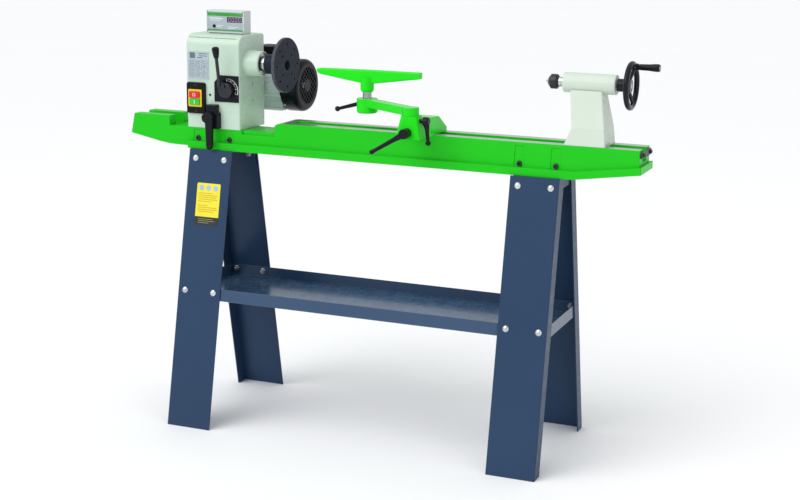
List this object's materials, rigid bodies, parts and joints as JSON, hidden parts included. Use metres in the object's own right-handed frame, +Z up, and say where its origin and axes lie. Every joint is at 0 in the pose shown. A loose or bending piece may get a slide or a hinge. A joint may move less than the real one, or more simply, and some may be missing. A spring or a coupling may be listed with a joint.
{
  "type": "wood lathe",
  "caption": "Floor-standing wood lathe on splayed sheet-steel legs with tray, swivelling headstock with rear motor, swing-arm tool rest and sliding tailstock.",
  "frame": {"origin": "centre of the bounding box at floor level", "axes": "+X along the bed towards the tailstock, -Y towards the operator, +Z up"},
  "size_m": [1.4966, 0.4539, 1.135],
  "materials": {
    "bed_paint": "gloss enamel over cast iron, machined on the ways",
    "rest_paint": "gloss enamel over cast iron",
    "stand_paint": "satin slate-blue powder coat on sheet steel",
    "headstock_paint": "gloss pale green-grey enamel on cast iron",
    "tailstock_paint": "gloss pale green-grey enamel on cast iron",
    "motor_paint": "satin pale grey enamel on aluminium",
    "black_paint": "satin black enamel",
    "black_lever": "black moulded covering over steel",
    "black_plastic": "textured black plastic",
    "panel_print": "printed plastic film",
    "plate_print": "printed aluminium plate",
    "yellow_plastic": "yellow moulded plastic",
    "red_plastic": "red moulded plastic",
    "green_plastic": "green moulded plastic",
    "lever_steel": "black oxide on cast iron",
    "black_iron": "black oxide on cast iron",
    "bright_steel": "ground and turned steel",
    "zinc_steel": "zinc-plated fasteners",
    "dark_fastener": "black-oxide screws and bar",
    "sheave_alloy": "turned alloy",
    "belt_rubber": "moulded rubber"
  },
  "bodies": {
    "stand": {"bed": "bed_paint", "leg_front_left": "stand_paint", "leg_rear_left": "stand_paint", "leg_front_right": "stand_paint", "leg_rear_right": "stand_paint", "leg_bracket_left": "stand_paint", "leg_bracket_right": "stand_paint", "tray": "stand_paint", "leg_bolts": "zinc_steel", "leg_nuts": "zinc_steel", "bed_screws": "dark_fastener", "end_stop": "dark_fastener"},
    "headstock": {"headstock_housing": "headstock_paint", "end_cover": "headstock_paint", "belt_housing": "headstock_paint", "swivel_post": "bright_steel", "clamp_bracket": "black_paint", "display_housing": "black_plastic", "display_panel": "panel_print", "nameplate": "plate_print", "switch_plate": "black_plastic", "switch_frame": "yellow_plastic", "speed_dial": "black_paint", "spindle_bearings": "bright_steel", "motor_body": "motor_paint", "fan_cover": "black_paint", "capacitor_box": "black_plastic", "cable_gland": "black_plastic", "drive_belt": "belt_rubber"},
    "headstock_clamp": {"headstock_clamp_lever": "black_lever"},
    "speed_selector": {"speed_lever": "lever_steel", "speed_lever_grip": "black_lever"},
    "stop_push": {"stop_button": "red_plastic"},
    "start_push": {"start_button": "green_plastic"},
    "display_push": {"display_button": "black_plastic"},
    "spindle_line": {"spindle": "bright_steel", "spindle_sheave": "sheave_alloy", "faceplate": "black_iron"},
    "motor_rotor": {"motor_shaft": "bright_steel", "motor_fan": "black_plastic", "motor_sheave": "sheave_alloy"},
    "banjo_carriage": {"banjo_clamp_bolt": "bright_steel"},
    "banjo_body": {"banjo": "rest_paint"},
    "banjo_cam": {"banjo_cam_lever": "black_lever"},
    "arm": {"swing_arm": "rest_paint"},
    "arm_clamp": {"arm_clamp_lever": "black_lever"},
    "rest_clamp": {"rest_clamp_lever": "black_lever"},
    "post": {"rest_post": "bright_steel"},
    "rest": {"tool_rest": "rest_paint"},
    "tailstock": {"tailstock_casting": "tailstock_paint", "tailstock_clamp_bolt": "bright_steel"},
    "tailstock_clamp": {"tailstock_clamp_lever": "black_lever"},
    "quill_body": {"quill": "bright_steel", "live_centre_body": "bright_steel"},
    "live_centre": {"live_centre_point": "bright_steel"},
    "feed_wheel": {"handwheel": "black_iron", "leadscrew": "bright_steel", "crank_pin": "bright_steel"},
    "crank": {"crank_handle": "black_lever"},
    "quill_lock": {"quill_lock_lever": "black_lever"}
  },
  "joints": [
    {"name": "headstock_swivel", "type": "hinge", "parent": "stand", "child": "headstock", "pos_m": [-0.48325, -0.01255, 0.813], "axis": [0, 0, 1], "range_deg": [-15, 15]},
    {"name": "headstock_clamp_turn", "type": "hinge", "parent": "headstock", "child": "headstock_clamp", "pos_m": [-0.48025, -0.09255, 0.849], "axis": [0, 1, 0], "range_deg": [0, 90]},
    {"name": "speed_lever_turn", "type": "hinge", "parent": "headstock", "child": "speed_selector", "pos_m": [-0.43625, -0.07255, 0.922], "axis": [0, 1, 0], "range_deg": [0, 100]},
    {"name": "stop_press", "type": "slide", "parent": "headstock", "child": "stop_push", "axis": [0, 1, 0], "range_m": [0, 0.003], "stiffness_N_per_m": 400},
    {"name": "start_press", "type": "slide", "parent": "headstock", "child": "start_push", "axis": [0, 1, 0], "range_m": [0, 0.003], "stiffness_N_per_m": 400},
    {"name": "display_press", "type": "slide", "parent": "headstock", "child": "display_push", "axis": [0, 1, 0], "range_m": [0, 0.001], "stiffness_N_per_m": 400},
    {"name": "spindle_spin", "type": "hinge", "parent": "headstock", "child": "spindle_line", "pos_m": [-0.41225, -0.01255, 0.9943], "axis": [1, 0, 0], "continuous": true},
    {"name": "motor_spin", "type": "hinge", "parent": "headstock", "child": "motor_rotor", "pos_m": [-0.41225, 0.15245, 0.921], "axis": [1, 0, 0], "continuous": true},
    {"name": "banjo_slide", "type": "slide", "parent": "stand", "child": "banjo_carriage", "axis": [1, 0, 0], "range_m": [-0.095, 0.3]},
    {"name": "banjo_reach", "type": "slide", "parent": "banjo_carriage", "child": "banjo_body", "axis": [0, 1, 0], "range_m": [-0.025, 0.045]},
    {"name": "banjo_cam_turn", "type": "hinge", "parent": "banjo_body", "child": "banjo_cam", "pos_m": [0.14175, -0.18555, 0.858], "axis": [0, 1, 0], "range_deg": [-20, 90]},
    {"name": "arm_swing", "type": "hinge", "parent": "banjo_body", "child": "arm", "pos_m": [0.14175, -0.14255, 0.9], "axis": [0, 0, -1], "range_deg": [-60, 30]},
    {"name": "arm_clamp_turn", "type": "hinge", "parent": "banjo_body", "child": "arm_clamp", "pos_m": [0.17775, -0.14255, 0.887], "axis": [1, 0, 0], "range_deg": [-90, 90]},
    {"name": "rest_clamp_turn", "type": "hinge", "parent": "arm", "child": "rest_clamp", "pos_m": [-0.05553, -0.00003, 0.905], "axis": [-0.5821, 0.8131, 0], "range_deg": [-30, 35]},
    {"name": "rest_height", "type": "slide", "parent": "arm", "child": "post", "axis": [0, 0, 1], "range_m": [-0.015, 0.025]},
    {"name": "rest_swivel", "type": "hinge", "parent": "post", "child": "rest", "pos_m": [-0.03225, -0.03255, 0.95], "axis": [0, 0, 1], "range_deg": [-90, 90]},
    {"name": "tailstock_slide", "type": "slide", "parent": "stand", "child": "tailstock", "axis": [1, 0, 0], "range_m": [-0.3, 0.07]},
    {"name": "tailstock_clamp_turn", "type": "hinge", "parent": "tailstock", "child": "tailstock_clamp", "pos_m": [0.58575, 0.04745, 0.862], "axis": [0, 1, 0], "range_deg": [-25, 75]},
    {"name": "handwheel_spin", "type": "hinge", "parent": "tailstock", "child": "feed_wheel", "pos_m": [0.67775, -0.01255, 0.9943], "axis": [-1, 0, 0], "range_deg": [0, 5400]},
    {"name": "quill_feed", "type": "slide", "parent": "tailstock", "child": "quill_body", "axis": [-1, 0, 0], "range_m": [0, 0.07501]},
    {"name": "live_centre_spin", "type": "hinge", "parent": "quill_body", "child": "live_centre", "pos_m": [0.46775, -0.01255, 0.9943], "axis": [1, 0, 0], "continuous": true},
    {"name": "crank_handle_spin", "type": "hinge", "parent": "feed_wheel", "child": "crank", "pos_m": [0.71775, 0.01931, 1.03913], "axis": [1, 0, 0], "continuous": true},
    {"name": "quill_lock_turn", "type": "hinge", "parent": "tailstock", "child": "quill_lock", "pos_m": [0.52375, 0.02245, 0.9943], "axis": [0, 1, 0], "range_deg": [-60, 60]}
  ],
  "couplings": [
    {"joint": "motor_spin", "follows": "spindle_spin", "ratio": 0.83112},
    {"joint": "quill_feed", "follows": "handwheel_spin", "m_per_rad": 0.00079577}
  ]
}
